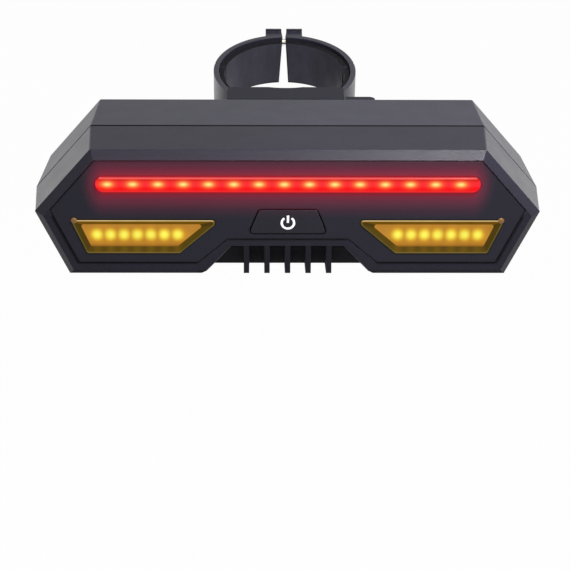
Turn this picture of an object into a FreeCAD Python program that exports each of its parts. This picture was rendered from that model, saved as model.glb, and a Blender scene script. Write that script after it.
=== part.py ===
import FreeCAD, Part

import math
import os

V = FreeCAD.Vector

# Bike tail light on a seat-post clamp. Sizes are millimetres.
# +X is the viewer's right when facing the lens, -Y is where the lens looks, +Z is up.
# The origin is the centre of the clamp's bore. The light is drawn with its front face at y = 0
# and its widest line at z = 0, and the clamp round its own upright axis; both are placed at the end.

# Casing outline at the shoulder, where the front bevel ends
wide_half = 60.0
top_half = 46.4
top_z = 15.9
bottom_half = 52.35
bottom_z = -16.55
bevel_inset = 1.86
bevel_depth = 2.07
draft_front = 0.45
draft_front_side = 0.85
draft_rear = 1.0
draft_rear_side = 1.4
parting_y = 15.1
rear_y = 34.5
wall = 2.0
corner_r = 0.8
rear_edge_r = 0.6
seam_gap = 0.3
seam_depth = 0.85

# Face panel
rim_top = 0.3
rim_upper = 0.3
rim_lower = 2.15
rim_bottom = 2.1
panel_t = 2.2
panel_gap = 0.15
ledge = 0.9
ledge_t = 2.0

# Finned recess under the face
recess_top_half = 13.15
recess_top_z = -8.3
recess_bottom_half = 20.65
recess_back_y = 8.0
recess_wall = 1.9
recess_rim_top = 1.9
recess_rim_high = 1.15
recess_rim_low = 5.15
recess_bevel = 0.35
recess_bevel_depth = 0.5
fin_count = 5
fin_pitch = 4.92
fin_t = 1.3
fin_nose = 1.0
fin_drop = 6.7

# Red bar
bar_end_margin = 5.2
bar_z = 7.85
bar_h = 3.95
bar_proud = 0.55
bar_edge_r = 0.5
lens_gap = 0.05
bar_flange = 0.7
flange_t = 0.8
guide_t = 1.5
red_count = 15
red_end = 3.77
red_shift = -0.91

# Amber windows
window_top_z = -1.45
window_bottom_z = -10.1
window_corner_r = 0.8
window_from_recess = 2.85
window_rake = 9.7
window_margin_top = 3.55
window_margin_bottom = 3.15
window_rim = 0.25
window_slope = 1.5
window_wall = 0.3
window_sink = 0.75
window_proud = 0.15
window_skin = 0.7
window_flange = 0.65
diffuser_t = 1.2
amber_count = 7
amber_end_in = 0.5
amber_end_out = 2.45
amber_z = -5.6

# Power button
button_top_half = 6.83
button_bottom_half = 9.15
button_top_z = 1.15
button_bottom_z = -4.85
button_gap = 0.25
button_proud = 0.1
button_flange = 0.8
button_flange_t = 0.8
button_travel = 0.4
button_corner_r = 0.7
seal_t = 0.25
seal_gap = 0.05
stem_r = 1.5
symbol_r = 1.75
symbol_line = 0.55
symbol_open = 70.0
symbol_z = -2.1
symbol_t = 0.5

# Circuit board and what sits on it
board_y = 6.0
board_t = 1.6
board_in_top = 4.5
board_in_side = 6.3
board_in_bottom = 5.65
led_w = 2.0
led_h = 1.4
led_t = 1.0
switch_size = 6.0
switch_t = 1.2
plunger_r = 1.4
plunger_gap = 0.1
post_r = 1.9
post_x = (16.0, 36.0)
post_z = 2.2
board_screw_r = 0.9
board_head_r = 1.7
board_head_t = 1.1
radio_len = 16.0
radio_h = 9.0
radio_t = 2.2
radio_x = 16.0
radio_z = -5.0

# Battery cell, lying along X
cell_r = 9.2
cell_len = 65.0
cell_cap_r = 3.0
cell_cap_t = 1.0
cell_gap = 0.3
cradle_t = 5.0
cradle_x = 24.0
cradle_half_h = 12.8
cradle_pad = 0.1
foam_x = -26.0
foam_len = 16.0
foam_h = 10.0
lead_r = 0.7
lead_z = -3.5

# Charging port on the underside
port_in = 6.7
port_y = 9.3
socket_w = 9.0
socket_t = 3.2
socket_len = 7.3
port_gap = 0.3
cover_in = 4.6
cover_len = 18.8
cover_y0 = 6.6
cover_y1 = 13.8
cover_t = 0.9
cover_gap = 0.2
cover_corner_r = 1.0
cover_tab_len = 4.2
cover_tab_t = 1.1
plug_w = 8.0
plug_t = 2.2
plug_len = 1.6
plug_play = 1.2

# Casing screws and their bosses
screw_high_z = 5.0
screw_high_in = 5.1
screw_low_z = -8.0
screw_low_in = 7.1
boss_r = 2.6
rear_boss_r = 3.3
case_screw_r = 1.1
case_screw_len = 18.0
case_head_r = 2.1
case_head_t = 1.6
case_head_sink = 6.0
pilot_len = 10.5
pilot_play = 0.05
screw_play = 0.25
gasket_w = 0.9
gasket_t = 0.8

# Receiver on the back of the casing and the tongue that slides in it
rail_half_x = 15.0
rail_half_z = 12.0
rail_depth = 6.1
rail_base = 1.6
stop_w = 7.3
stop_top_z = 13.5
stop_bottom_z = -14.6
stop_r = 1.5
tongue_half_z = 8.0
tongue_t = 2.3
neck_half_z = 5.5
slide_gap = 0.15
rail_screw_x = 10.0
rail_screw_z = 10.1
rail_screw_r = 1.0
rail_head_r = 1.7
rail_head_t = 1.2
rail_head_sink = 3.0
rail_screw_len = 8.0
rail_boss_r = 2.1

# Clamp block
block_half_x = 14.8
block_top_z = 12.2
block_bottom_z = -12.5
block_gap = 1.6
block_depth = 10.0
block_front_wall = 2.5
block_back_wall = 3.5
block_side_wall = 1.3
block_roof = 3.0
block_edge_r = 0.3
block_play = 0.1

# Clamp ring
post_from_block = 15.0
rise = 3.7
post_lean = 9.0
post_bore_r = 15.9
liner_t = 1.5
liner_h = 11.7
ring_wall = 1.35
ring_h = 14.1
hinge_angle = 11.3
hinge_bead_trim = 0.025
hinge_gap = 0.12
arm_gap = 0.3
liner_inset = 0.6
liner_split = 0.3
split_top = 0.36
split_bottom = 1.25
ear_in = 0.7
ear_out = 4.95
ear_depth = 2.2
ear_h = 5.85
ear_lip = 0.7
ear_lip_t = 0.5
ear_screw_y = 1.55
ear_screw_drop = 3.2
ear_boss_r = 2.9
clamp_screw_r = 1.0
clamp_head_r = 1.8
clamp_head_t = 1.6
clamp_play = 0.3
clamp_nut_af = 4.0
clamp_nut_t = 1.6
hex_key = 1.5
hex_key_depth = 0.9

block_front_y = rear_y + rail_depth + block_gap
block_back_y = block_front_y + block_depth
reach = block_back_y + post_from_block
ring_in_r = post_bore_r + liner_t
ring_out_r = ring_in_r + ring_wall
mid_r = (ring_in_r + ring_out_r) / 2
hinge_bead_r = ring_wall / 2 - hinge_bead_trim


# Helpers: outlines are lists of (x, z) corners, in the view that faces the lens

def offset_outline(points, grow):
    """Move every side outward by grow (one value, or one for each side) and rejoin the corners."""
    count = len(points)
    moves = grow if isinstance(grow, (list, tuple)) else [grow] * count
    following = points[1:] + points[:1]
    area = sum(a[0] * b[1] - b[0] * a[1] for a, b in zip(points, following))
    turn = 1 if area > 0 else -1
    sides = []
    for (ax, az), (bx, bz), move in zip(points, following, moves):
        length = math.hypot(bx - ax, bz - az)
        nx = turn * (bz - az) / length
        nz = turn * (ax - bx) / length
        sides.append((nx, nz, nx * ax + nz * az + move))
    corners = []
    for i in range(count):
        n1x, n1z, d1 = sides[i - 1]
        n2x, n2z, d2 = sides[i]
        det = n1x * n2z - n2x * n1z
        corners.append(((d1 * n2z - d2 * n1z) / det, (n1x * d2 - n2x * d1) / det))
    return corners


def half_width(outline, z):
    """How far the outline reaches to the right at a height."""
    reach_x = 0.0
    for (ax, az), (bx, bz) in zip(outline, outline[1:] + outline[:1]):
        if min(az, bz) <= z <= max(az, bz) and az != bz:
            reach_x = max(reach_x, ax + (bx - ax) * (z - az) / (bz - az))
    return reach_x


def by_side(top, upper, lower, bottom):
    """One value for each of the casing outline's six sides."""
    return [top, upper, lower, bottom, lower, upper]


def wire_at(points, y):
    corners = [V(x, y, z) for x, z in points]
    return Part.makePolygon(corners + corners[:1])


def prism(points, y0, y1):
    return Part.Face(wire_at(points, y0)).extrude(V(0, y1 - y0, 0))


def loft(points0, y0, points1, y1):
    return Part.makeLoft([wire_at(points0, y0), wire_at(points1, y1)], True, True)


def rounded_wire(points, r, y):
    """The outline at a depth, with an arc in place of every corner."""
    arcs = []
    for i, (x, z) in enumerate(points):
        corner = V(x, y, z)
        last_x, last_z = points[i - 1]
        next_x, next_z = points[(i + 1) % len(points)]
        before = V(last_x - x, 0, last_z - z).normalize()
        after = V(next_x - x, 0, next_z - z).normalize()
        half = before.getAngle(after) / 2
        run = r / math.tan(half)
        middle = (before + after).normalize() * (r / math.sin(half) - r)
        arcs.append((corner + before * run, corner + middle, corner + after * run))
    edges = []
    for i, (start, middle, end) in enumerate(arcs):
        edges.append(Part.LineSegment(arcs[i - 1][2], start).toShape())
        edges.append(Part.Arc(start, middle, end).toShape())
    return Part.Wire(edges)


def rounded_prism(points, r, y0, y1):
    return Part.Face(rounded_wire(points, r, y0)).extrude(V(0, y1 - y0, 0))


def box(x0, x1, y0, y1, z0, z1):
    return Part.makeBox(x1 - x0, y1 - y0, z1 - z0, V(x0, y0, z0))


def rod_y(x, z, r, y0, y1):
    return Part.makeCylinder(r, y1 - y0, V(x, y0, z), V(0, 1, 0))


def rod_x(y, z, r, x0, x1):
    return Part.makeCylinder(r, x1 - x0, V(x0, y, z), V(1, 0, 0))


def rod_z(x, y, r, z0, z1):
    return Part.makeCylinder(r, z1 - z0, V(x, y, z0), V(0, 0, 1))


def hexagon_prism(across, start, direction, length):
    """Six-sided nut or key shape along a direction, from its width across flats."""
    r = across / math.sqrt(3)
    corners = [V(r * math.cos(math.radians(60 * i)), r * math.sin(math.radians(60 * i)), 0) for i in range(6)]
    solid = Part.Face(Part.makePolygon(corners + corners[:1])).extrude(V(0, 0, length))
    solid.Placement = FreeCAD.Placement(start, FreeCAD.Rotation(V(0, 0, 1), direction))
    return solid


def join(shapes):
    return shapes[0].multiFuse(shapes[1:]).removeSplitter()


def both_sides(shape):
    return [shape, shape.mirror(V(0, 0, 0), V(1, 0, 0))]


def group(shapes):
    return Part.makeCompound(shapes)


def edges_along_y(shape, y0, y1):
    """Edges that run from one depth to the other: the long corners of a casing half."""
    found = []
    for edge in shape.Edges:
        ys = sorted(v.Point.y for v in edge.Vertexes)
        if len(ys) == 2 and abs(ys[0] - y0) < 0.01 and abs(ys[1] - y1) < 0.01:
            found.append(edge)
    return found


def edges_at_y(shape, y):
    return [e for e in shape.Edges if all(abs(v.Point.y - y) < 0.01 for v in e.Vertexes)]


# Outlines shared by several pieces

shoulder = [(-top_half, top_z), (top_half, top_z), (wide_half, 0.0),
            (bottom_half, bottom_z), (-bottom_half, bottom_z), (-wide_half, 0.0)]
face = offset_outline(shoulder, -bevel_inset)
parting = offset_outline(shoulder, by_side(draft_front, draft_front_side, draft_front_side, draft_front))
rear = offset_outline(parting, by_side(-draft_rear, -draft_rear_side, -draft_rear_side, -draft_rear))
inside = offset_outline(shoulder, -wall)
rear_inside = offset_outline(rear, -wall)

panel_hexagon = offset_outline(face, by_side(-rim_top, -rim_upper, -rim_lower, -rim_bottom))

recess_low = bottom_z - draft_front - 1.0
recess_slope = (recess_bottom_half - recess_top_half) / (recess_top_z - bottom_z)
recess_low_half = recess_top_half + recess_slope * (recess_top_z - recess_low)
recess_outline = [(-recess_top_half, recess_top_z), (recess_top_half, recess_top_z),
                  (recess_low_half, recess_low), (-recess_low_half, recess_low)]
notch_top_z = recess_top_z + recess_rim_top
notch_top_half = recess_top_half + recess_rim_high
notch_slope = (recess_bottom_half + recess_rim_low - notch_top_half) / (notch_top_z - bottom_z)
notch_low_half = notch_top_half + notch_slope * (notch_top_z - recess_low)
notch_outline = [(-notch_top_half, notch_top_z), (notch_top_half, notch_top_z),
                 (notch_low_half, recess_low), (-notch_low_half, recess_low)]

bar_half = half_width(panel_hexagon, bar_z) - bar_end_margin
window_top_in = recess_top_half + window_from_recess
window_top_out = half_width(panel_hexagon, window_top_z) - window_margin_top
window_bottom_in = window_top_in + window_rake
window_bottom_out = half_width(panel_hexagon, window_bottom_z) - window_margin_bottom
window_right = [(window_top_in, window_top_z), (window_top_out, window_top_z),
                (window_bottom_out, window_bottom_z), (window_bottom_in, window_bottom_z)]

button_outline = [(-button_top_half, button_top_z), (button_top_half, button_top_z),
                  (button_bottom_half, button_bottom_z), (-button_bottom_half, button_bottom_z)]

board_outline = offset_outline(shoulder, by_side(-board_in_top, -board_in_side, -board_in_side, -board_in_bottom))

screw_spots = [(half_width(offset_outline(shoulder, -screw_high_in), screw_high_z), screw_high_z),
               (half_width(offset_outline(shoulder, -screw_low_in), screw_low_z), screw_low_z)]

cover_x1 = bottom_half - cover_in
cover_x0 = cover_x1 - cover_len
port_x = cover_x1 - port_in


def panel_outline_solid(grow, y0, y1):
    """The face panel's shape, a hexagon less the notch over the fins, grown by a clearance."""
    notch = offset_outline(notch_outline, [-grow, -grow, 1.0, -grow])
    return prism(offset_outline(panel_hexagon, grow), y0, y1).cut(prism(notch, y0 - 1, y1 + 1))


def stadium(half, z, height, y0, y1):
    """A bar with round ends, from half its length and its height."""
    r = height / 2
    body = box(-half + r, half - r, y0, y1, z - r, z + r)
    return join([body, rod_y(-half + r, z, r, y0, y1), rod_y(half - r, z, r, y0, y1)])


def ramp(lift, front):
    """The wedge under the recess's sloping floor, as wide as the casing."""
    fall = (bottom_z - draft_front - recess_top_z) / recess_back_y
    high = recess_top_z + lift - fall * front
    low = recess_low - 1.0
    back = (low - recess_top_z - lift) / fall
    points = [V(-wide_half, -front, high), V(-wide_half, back, low), V(-wide_half, -front, low)]
    return Part.Face(Part.makePolygon(points + points[:1])).extrude(V(2 * wide_half, 0, 0))


def recess_solid(grow):
    """The space of the finned recess; grown, it is the space with its wall."""
    slope_length = math.hypot(recess_back_y, recess_top_z - bottom_z + draft_front)
    lift = grow * slope_length / recess_back_y
    sides = offset_outline(recess_outline, [grow, grow, 0.0, grow])
    return prism(sides, -2.0, parting_y).common(ramp(lift, 2.0))


# Casing

def front_housing():
    body = loft(shoulder, bevel_depth, parting, parting_y)
    body = body.makeFillet(corner_r, edges_along_y(body, bevel_depth, parting_y))
    body = join([loft(face, 0, shoulder, bevel_depth).common(prism(shoulder, -1, bevel_depth + 1)), body])
    back_of_ledge = panel_t + ledge_t
    solid_recess = recess_solid(recess_wall)
    body = body.cut(panel_outline_solid(panel_gap, -1, panel_t))
    window = prism(offset_outline(panel_hexagon, -ledge), panel_t - 0.1, back_of_ledge + 0.1)
    cavity = prism(inside, back_of_ledge, parting_y + 1)
    body = body.cut(window.fuse(cavity).cut(solid_recess))
    body = body.cut(recess_solid(0.0))
    mouth = offset_outline(recess_outline, [0.0, recess_bevel, 0.0, recess_bevel])
    body = body.cut(loft(mouth, -0.01, recess_outline, recess_bevel_depth))
    body = join([body] + fins())
    for x, z in screw_spots:
        for side in (-1, 1):
            body = body.fuse(rod_y(side * x, z, boss_r, back_of_ledge - 0.5, parting_y))
    for x, z in screw_spots:
        for side in (-1, 1):
            body = body.cut(rod_y(side * x, z, case_screw_r + pilot_play, parting_y - pilot_len, parting_y + 1))
    body = body.cut(cover_plate(cover_gap, bottom_z - 2.0))
    body = body.cut(port_hole())
    return body.removeSplitter()


def fins():
    """Upright fins in the recess, level with the underside and a little proud of the face."""
    floor = bottom_z - draft_front / 2
    tip = recess_top_z - fin_drop
    profile = [(0.0, recess_top_z + 0.5), (-fin_nose, tip), (recess_back_y - 0.6, floor),
               (recess_back_y + 0.6, floor), (recess_back_y + 0.6, floor + recess_wall)]
    made = []
    for i in range(fin_count):
        x = (i - (fin_count - 1) / 2) * fin_pitch - fin_t / 2
        points = [V(x, y, z) for y, z in profile]
        made.append(Part.Face(Part.makePolygon(points + points[:1])).extrude(V(fin_t, 0, 0)))
    return made


def cover_plate(gap, low):
    """The cover's plate, or the shallow pocket that it lies in when a gap is given."""
    plate = box(cover_x0 - gap, cover_x1 + gap, cover_y0 - gap, cover_y1 + gap, low, bottom_z + cover_t)
    upright = [e for e in plate.Edges if abs(e.Vertexes[0].Z - e.Vertexes[1].Z) > 0.1]
    return plate.makeFillet(cover_corner_r + gap, upright)


def port_hole():
    return box(port_x - plug_w / 2 - plug_play, port_x + plug_w / 2 + port_gap,
               port_y - plug_t / 2 - port_gap, port_y + plug_t / 2 + port_gap,
               bottom_z - 1.0, bottom_z + wall + 1.0)


def rear_housing():
    body = loft(parting, parting_y, rear, rear_y)
    rim = edges_at_y(body, rear_y)
    body = body.makeFillet(rear_edge_r, rim + edges_along_y(body, parting_y, rear_y))
    seam = prism(offset_outline(parting, 2.0), parting_y - 1, parting_y + seam_gap)
    body = body.cut(seam.cut(prism(offset_outline(parting, -seam_depth), parting_y - 2, parting_y + 1)))
    body = body.cut(prism(rear_inside, parting_y - 1, rear_y - wall))
    for x, z in screw_spots:
        for side in (-1, 1):
            post = rod_y(side * x, z, rear_boss_r, parting_y, rear_y - wall / 2)
            body = body.fuse(post.common(prism(offset_outline(rear, -wall / 2), parting_y - 1, rear_y)))
    for x, z in rail_screw_spots():
        body = body.fuse(rod_y(x, z, rail_boss_r, rear_y - wall - 4.0, rear_y - wall / 2))
    for x, z in screw_spots:
        for side in (-1, 1):
            seat = rear_y - case_head_sink
            body = body.cut(rod_y(side * x, z, case_screw_r + screw_play, parting_y - 1, seat + 1))
            body = body.cut(rod_y(side * x, z, case_head_r + screw_play, seat, rear_y + 1))
    for x, z in rail_screw_spots():
        body = body.cut(rod_y(x, z, rail_screw_r + pilot_play, rear_y - wall - 3.6, rear_y + 1))
    body = body.cut(gasket_ring(0.0))
    return body.removeSplitter()


def gasket_ring(shrink):
    """Seal in the middle of the wall, in the rear half's front edge."""
    middle = -(seam_depth + 0.2)
    outer = offset_outline(parting, middle - shrink)
    inner = offset_outline(parting, middle - gasket_w + shrink)
    return prism(outer, parting_y - 0.0, parting_y + gasket_t).cut(prism(inner, parting_y - 1, parting_y + 2))


def housing_screws():
    made = []
    for x, z in screw_spots:
        seat = rear_y - case_head_sink
        screw = rod_y(x, z, case_screw_r, seat - case_screw_len, seat)
        head = rod_y(x, z, case_head_r, seat, seat + case_head_t)
        key = hexagon_prism(hex_key * 0.8, V(x, seat + case_head_t - 0.9, z), V(0, 1, 0), 1.5)
        made += both_sides(join([screw, head]).cut(key))
    return group(made)


# Face panel, lenses and what is behind them

def front_panel():
    body = panel_outline_solid(0.0, 0.0, panel_t)
    body = body.cut(stadium(bar_half + lens_gap, bar_z, bar_h + 2 * lens_gap, -1, panel_t + 1))
    window = rounded_prism(offset_outline(window_right, lens_gap), window_corner_r, -1, panel_t + 1)
    for hole in both_sides(window):
        body = body.cut(hole)
    body = body.cut(rounded_button(button_gap, -1, panel_t + 1))
    for x in post_x:
        for side in (-1, 1):
            body = body.fuse(rod_y(side * x, post_z, post_r, panel_t - 0.5, board_y))
    for x in post_x:
        for side in (-1, 1):
            body = body.cut(rod_y(side * x, post_z, board_screw_r, panel_t - 0.6, board_y + 1))
    return body.removeSplitter()


def red_lens():
    bar = stadium(bar_half, bar_z, bar_h, -bar_proud, panel_t)
    bar = bar.makeFillet(bar_edge_r, edges_at_y(bar, -bar_proud))
    flange = stadium(bar_half + bar_flange, bar_z, bar_h + 2 * bar_flange, panel_t, panel_t + flange_t)
    return join([bar, flange])


def red_light_guide():
    y0 = panel_t + flange_t
    return stadium(bar_half, bar_z, bar_h, y0, y0 + guide_t)


def amber_lens():
    """A window with a sloping border round a sunk field, and a flange behind the panel."""
    rim = rounded_wire(offset_outline(window_right, -window_rim), window_corner_r - window_rim, -window_proud)
    field = rounded_wire(offset_outline(window_right, -window_slope), window_corner_r - window_rim, window_sink)
    body = rounded_prism(window_right, window_corner_r, -window_proud, panel_t)
    body = body.cut(Part.makeLoft([rim, field], True, True))
    back = offset_outline(window_right, -window_slope + window_wall)
    body = body.fuse(prism(offset_outline(window_right, window_flange), panel_t, panel_t + flange_t))
    body = body.cut(prism(back, window_sink + window_skin, panel_t + flange_t + 1))
    return body.removeSplitter()


def amber_diffuser():
    """The inner field that the LEDs light up, in the hollow of the window."""
    back = offset_outline(window_right, -window_slope + window_wall - lens_gap)
    y0 = window_sink + window_skin
    return prism(back, y0, y0 + diffuser_t)


def led(x, z):
    return box(x - led_w / 2, x + led_w / 2, board_y - led_t, board_y, z - led_h / 2, z + led_h / 2)


def red_leds():
    run = 2 * (bar_half - red_end)
    return group([led(red_shift - run / 2 + run * i / (red_count - 1), bar_z) for i in range(red_count)])


def amber_leds():
    first = window_bottom_in + amber_end_in
    run = window_bottom_out - amber_end_out - first
    return group([led(first + run * i / (amber_count - 1), amber_z) for i in range(amber_count)])


# Button

def rounded_button(grow, y0, y1):
    return rounded_prism(offset_outline(button_outline, grow), button_corner_r + grow, y0, y1)


def power_button():
    flange_y = panel_t + seal_gap + seal_t
    cap = rounded_button(0.0, -button_proud, flange_y)
    flange = rounded_button(button_flange, flange_y, flange_y + button_flange_t)
    stem = rod_y(0, symbol_z, stem_r, flange_y, plunger_y())
    return join([cap, flange, stem]).cut(symbol_solid())


def plunger_y():
    """Where the button's stem meets the switch's plunger."""
    return board_y - switch_t - button_travel - 0.15


def symbol_solid():
    """Power mark: an open ring with a bar in its gap, let into the cap."""
    y0 = -button_proud
    y1 = y0 + symbol_t
    outer = rod_y(0, symbol_z, symbol_r, y0, y1)
    ring = outer.cut(rod_y(0, symbol_z, symbol_r - symbol_line, y0 - 1, y1 + 1))
    half = 2 * symbol_r * math.tan(math.radians(symbol_open / 2))
    opening = [(0, symbol_z), (half, symbol_z + 2 * symbol_r), (-half, symbol_z + 2 * symbol_r)]
    ring = ring.cut(prism(opening, y0 - 1, y1 + 1))
    bar = box(-symbol_line / 2, symbol_line / 2, y0, y1, symbol_z, symbol_z + symbol_r + symbol_line / 3)
    return group([ring, bar])


def button_seal():
    y0 = panel_t + seal_gap
    ring = rounded_button(button_flange, y0, y0 + seal_t)
    return ring.cut(rounded_button(lens_gap, y0 - 1, y0 + seal_t + 1))


def tact_switch():
    half = switch_size / 2
    body = box(-half, half, board_y - switch_t, board_y, symbol_z - half, symbol_z + half)
    return body.cut(rod_y(0, symbol_z, plunger_r + plunger_gap, board_y - switch_t - 1, board_y - 0.1))


def switch_plunger():
    return rod_y(0, symbol_z, plunger_r, plunger_y(), board_y - 0.1 - button_travel - 0.05)


# Board, battery and electrics

def main_board():
    body = prism(board_outline, board_y, board_y + board_t)
    for x, z in screw_spots:
        for side in (-1, 1):
            body = body.cut(rod_y(side * x, z, boss_r + screw_play, board_y - 1, board_y + board_t + 1))
    for x in post_x:
        for side in (-1, 1):
            body = body.cut(rod_y(side * x, post_z, board_screw_r + 0.1, board_y - 1, board_y + board_t + 1))
    return body


def board_screws():
    made = []
    for x in post_x:
        seat = board_y + board_t
        shank = rod_y(x, post_z, board_screw_r, panel_t, seat)
        made += both_sides(join([shank, rod_y(x, post_z, board_head_r, seat, seat + board_head_t)]))
    return group(made)


def radio_module():
    y0 = board_y + board_t
    return box(radio_x - radio_len / 2, radio_x + radio_len / 2, y0, y0 + radio_t,
               radio_z - radio_h / 2, radio_z + radio_h / 2)


def cell_y():
    return rear_y - wall - cell_gap - cell_r


def battery_cell():
    body = rod_x(cell_y(), 0, cell_r, -cell_len / 2, cell_len / 2)
    cap = rod_x(cell_y(), 0, cell_cap_r, cell_len / 2, cell_len / 2 + cell_cap_t)
    return join([body, cap])


def battery_holder():
    """Two saddles on the inside of the rear wall."""
    block = box(cradle_x, cradle_x + cradle_t, cell_y(), rear_y - wall, -cradle_half_h, cradle_half_h)
    saddle = block.cut(rod_x(cell_y(), 0, cell_r + cradle_pad, cradle_x - 1, cradle_x + cradle_t + 1))
    return group([piece for side in both_sides(saddle) for piece in side.Solids])


def battery_foam():
    """Pad between the board and the cell."""
    block = box(foam_x - foam_len / 2, foam_x + foam_len / 2, board_y + board_t, cell_y(),
                -foam_h / 2, foam_h / 2)
    return block.cut(rod_x(cell_y(), 0, cell_r + 0.05, foam_x - foam_len, foam_x + foam_len))


def lead_path(points):
    """A thin insulated wire: straight runs joined by round bends."""
    made = []
    for a, b in zip(points, points[1:]):
        run = b - a
        made.append(Part.makeCylinder(lead_r, run.Length, a, run))
    for p in points[1:-1]:
        made.append(Part.makeSphere(lead_r, p))
    return join(made)


def battery_leads():
    end = cell_len / 2
    back = board_y + board_t
    plus = [V(end + cell_cap_t, cell_y(), 0), V(end + 3.5, cell_y(), 0), V(end + 3.5, back + 3, lead_z),
            V(end + 3.5, back, lead_z)]
    minus = [V(-end, cell_y(), 0), V(-end - 3.0, cell_y(), 0), V(-end - 3.0, back + 3, lead_z),
             V(-end - 3.0, back, lead_z)]
    return group([lead_path(plus), lead_path(minus)])


def usb_socket():
    y0 = port_y - socket_t / 2
    z0 = bottom_z + wall + 0.1
    body = box(port_x - socket_w / 2, port_x + socket_w / 2, y0, y0 + socket_t, z0, z0 + socket_len)
    body = body.makeFillet(socket_t * 0.35, [e for e in body.Edges if len(e.Vertexes) == 2
                                             and abs(e.Vertexes[0].Z - e.Vertexes[1].Z) > 1])
    mouth = box(port_x - socket_w / 2 + 0.4, port_x + socket_w / 2 - 0.4, y0 + 0.4, y0 + socket_t - 0.4,
                z0 - 1, z0 + socket_len - 1.2)
    pin_plate = box(port_x - socket_w / 2 + 1.2, port_x + socket_w / 2 - 1.2, port_y - 0.35, port_y + 0.35,
                    z0 + 0.8, z0 + socket_len - 1.0)
    return join([body.cut(mouth), pin_plate])


def usb_cover():
    """Rubber flap, level with the underside, with a pull tab and a plug for the hole."""
    face_z = bottom_z - draft_front / 2
    plate = cover_plate(0.0, face_z)
    tab = box(cover_x0, cover_x0 + cover_tab_len, cover_y0 + 2.2, cover_y1, face_z - cover_tab_t, face_z)
    chamfer_edge = [e for e in tab.Edges if len(e.Vertexes) == 2
                    and all(abs(v.X - cover_x0 - cover_tab_len) < 0.01 and abs(v.Z - face_z + cover_tab_t) < 0.01
                            for v in e.Vertexes)]
    tab = tab.makeChamfer(cover_tab_t * 0.8, chamfer_edge)
    plug_base = bottom_z + cover_t
    plug = box(port_x - plug_w / 2, port_x + plug_w / 2, port_y - plug_t / 2, port_y + plug_t / 2,
               plug_base, plug_base + plug_len - 0.6)
    return join([plate, tab, plug])


# Receiver and clamp block

def rail_screw_spots():
    return [(side * rail_screw_x, up * rail_screw_z) for side in (-1, 1) for up in (-1, 1)]


def rail_plate():
    lip_y = rear_y + rail_base + tongue_t + 2 * slide_gap
    body = box(-rail_half_x, rail_half_x + 0.5, rear_y, rear_y + rail_depth, -rail_half_z, rail_half_z)
    stop = box(rail_half_x, rail_half_x + stop_w, rear_y, rear_y + rail_depth, stop_bottom_z, stop_top_z)
    outer = [e for e in stop.Edges if all(abs(v.X - rail_half_x - stop_w) < 0.01
                                          and abs(v.Y - rear_y - rail_depth) < 0.01 for v in e.Vertexes)]
    stop = stop.makeFillet(stop_r, outer)
    slot = box(-rail_half_x - 1, rail_half_x, rear_y + rail_base, lip_y,
               -tongue_half_z - slide_gap, tongue_half_z + slide_gap)
    mouth = box(-rail_half_x - 1, rail_half_x, lip_y - 0.5, rear_y + rail_depth + 1,
                -neck_half_z - slide_gap, neck_half_z + slide_gap)
    body = join([body, stop]).cut(slot.fuse(mouth))
    top = rear_y + rail_depth - rail_head_sink
    for x, z in rail_screw_spots():
        body = body.cut(rod_y(x, z, rail_screw_r + 0.1, rear_y - 1, rear_y + rail_depth + 1))
        body = body.cut(rod_y(x, z, rail_head_r + 0.1, top, rear_y + rail_depth + 1))
    return body.removeSplitter()


def rail_screws():
    seat = rear_y + rail_depth - rail_head_sink
    made = []
    for x, z in rail_screw_spots():
        screw = rod_y(x, z, rail_screw_r, seat - rail_screw_len, seat)
        head = rod_y(x, z, rail_head_r, seat, seat + rail_head_t)
        key = hexagon_prism(hex_key * 0.6, V(x, seat + rail_head_t - 0.7, z), V(0, 1, 0), 1.5)
        made.append(join([screw, head]).cut(key))
    return group(made)


def leaning_block(half_x, front, back, low, high):
    """A block whose back face leans with the post; back is where that face is at z = 0."""
    lean = math.tan(math.radians(post_lean))
    profile = [(front, low), (back - low * lean, low), (back - high * lean, high), (front, high)]
    points = [V(-half_x, y, z) for y, z in profile]
    return Part.Face(Part.makePolygon(points + points[:1])).extrude(V(2 * half_x, 0, 0))


def clamp_block():
    """Hollow block, open underneath, with the tongue that slides into the receiver."""
    body = leaning_block(block_half_x, block_front_y, block_back_y, block_bottom_z, block_top_z)
    upright = [e for e in body.Edges if len(e.Vertexes) == 2 and abs(e.Vertexes[0].Z - e.Vertexes[1].Z) > 1]
    body = body.makeFillet(block_edge_r, upright)
    hollow = leaning_block(block_half_x - block_side_wall, block_front_y + block_front_wall,
                           block_back_y - block_back_wall, block_bottom_z - 1, block_top_z - block_roof)
    post_wall = place_ring(long_cylinder(ring_out_r))
    post_wall.translate(V(0, reach, rise))
    body = body.cut(hollow.cut(post_wall))
    tongue_y = rear_y + rail_base + slide_gap
    length = rail_half_x - slide_gap
    tongue = box(-rail_half_x, length, tongue_y, tongue_y + tongue_t, -tongue_half_z, tongue_half_z)
    neck = box(-rail_half_x, length, tongue_y + tongue_t - 0.1, block_front_y + 0.5, -neck_half_z, neck_half_z)
    return join([body, tongue, neck])


# Clamp ring, drawn round its own upright axis

def tube(inner, outer, height):
    return Part.makeCylinder(outer, height, V(0, 0, -height / 2)).cut(
        Part.makeCylinder(inner, height + 2, V(0, 0, -height / 2 - 1)))


def long_cylinder(r):
    """A cylinder on the post's axis that runs well past the block and the ring."""
    run = 3 * (block_top_z - block_bottom_z)
    return Part.makeCylinder(r, run, V(0, 0, -run / 2))


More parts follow.
